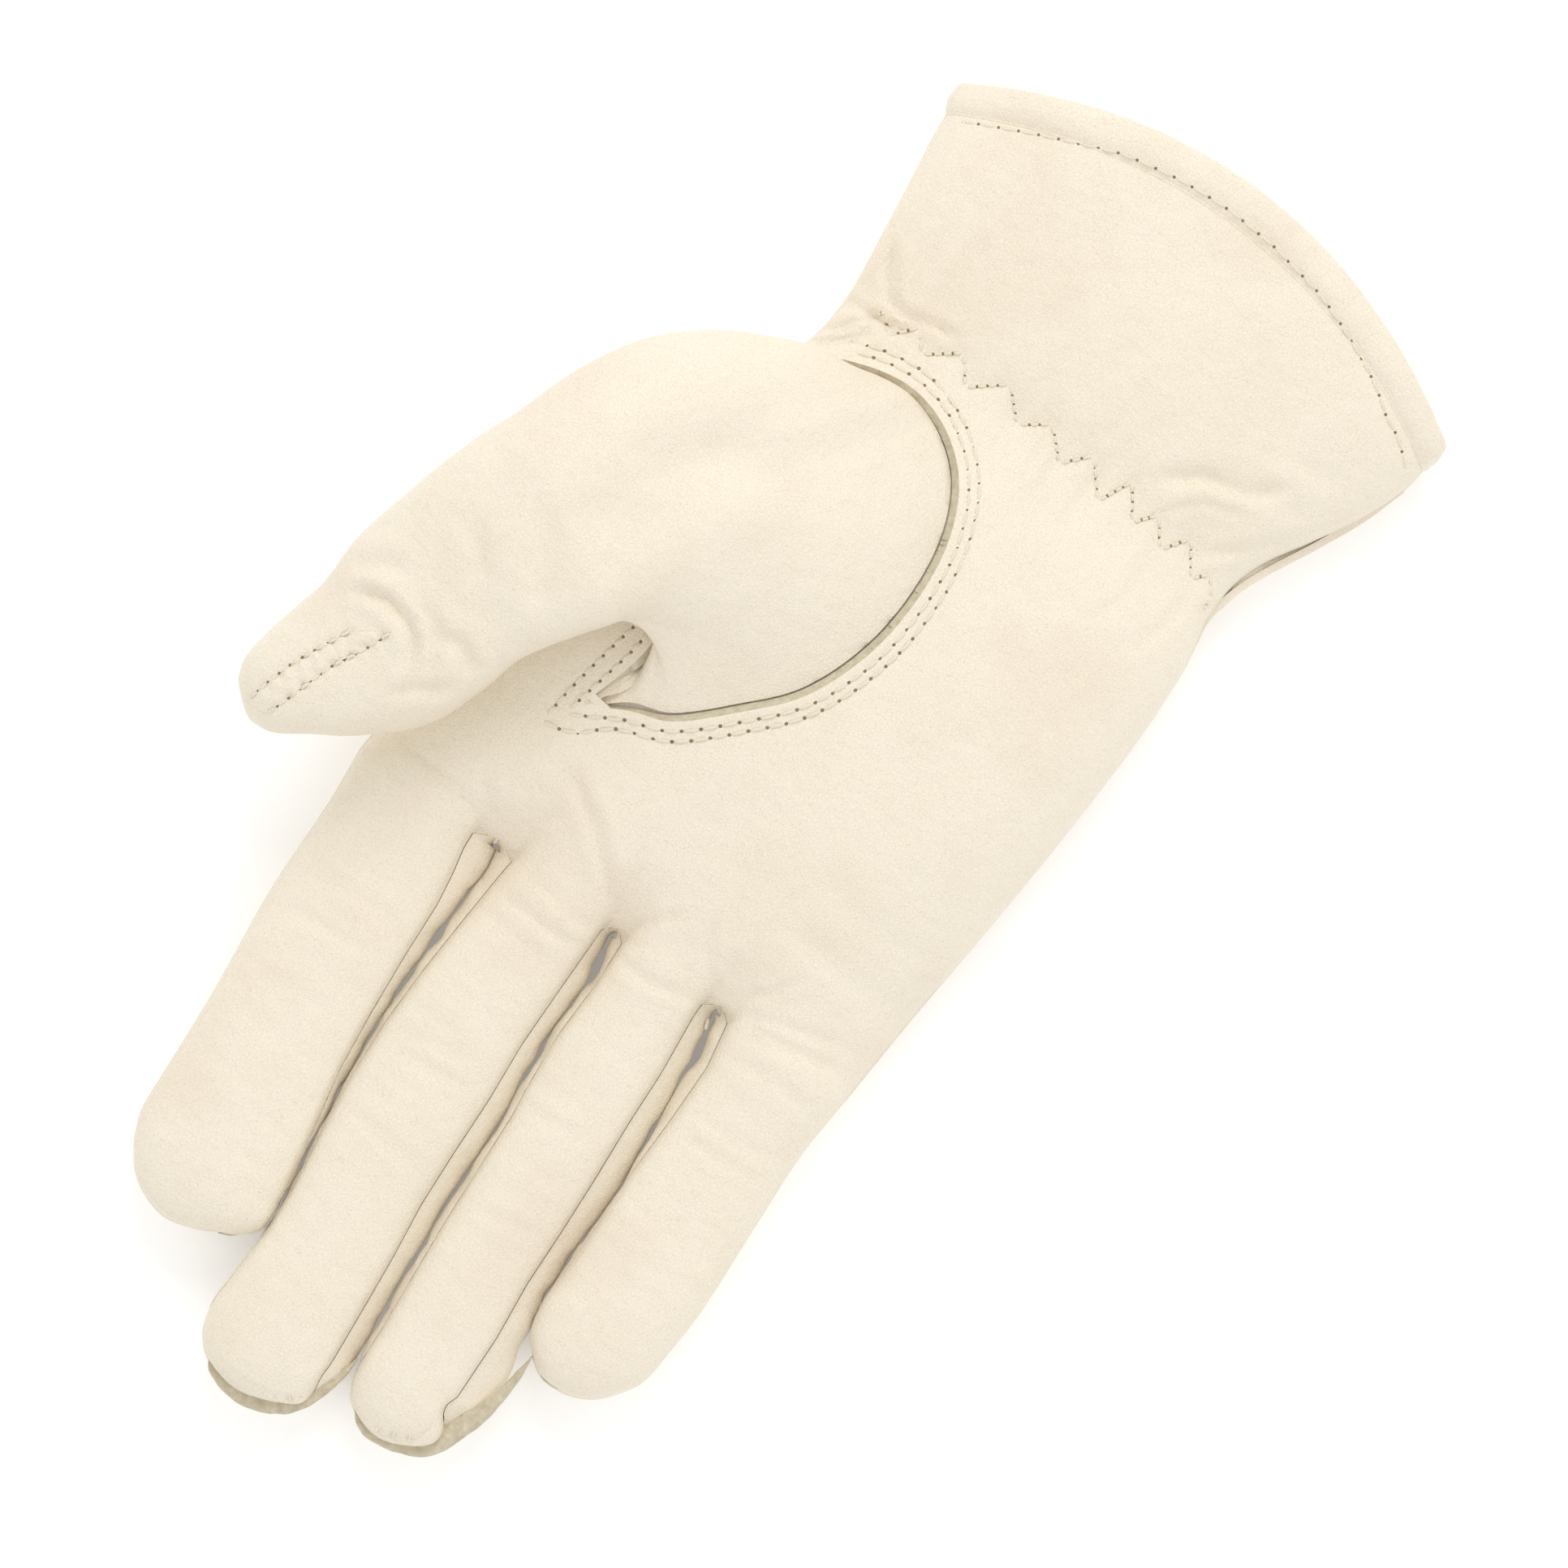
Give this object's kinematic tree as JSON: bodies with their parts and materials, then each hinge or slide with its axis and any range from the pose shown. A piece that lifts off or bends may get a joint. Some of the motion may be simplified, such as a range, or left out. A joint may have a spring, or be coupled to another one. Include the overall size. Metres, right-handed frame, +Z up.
{
  "type": "leather dress glove, right hand",
  "caption": "Cream leather dress glove for the right hand, palm up, with a set-in thumb, strips between the fingers, a shirred wrist and a flared hemmed cuff.",
  "frame": {"origin": "under the middle of the whole glove, on the surface that it lies on", "axes": "+Y towards the fingertips, +X towards the thumb, +Z up out of the palm"},
  "size_m": [0.1352, 0.2532, 0.0417],
  "materials": {
    "leather": "smooth, soft satin, fine grain",
    "raw_edge": "cut edge, matt",
    "thread": "twisted sewing thread"
  },
  "bodies": {
    "root": {"palm_panel": "leather", "back_panel": "leather", "thumb": "leather", "thumb_tip_strip": "leather", "fourchette_little_ring": "leather", "fourchette_ring_middle": "leather", "fourchette_middle_index": "leather", "cuff_hem": "leather"}
  },
  "joints": []
}
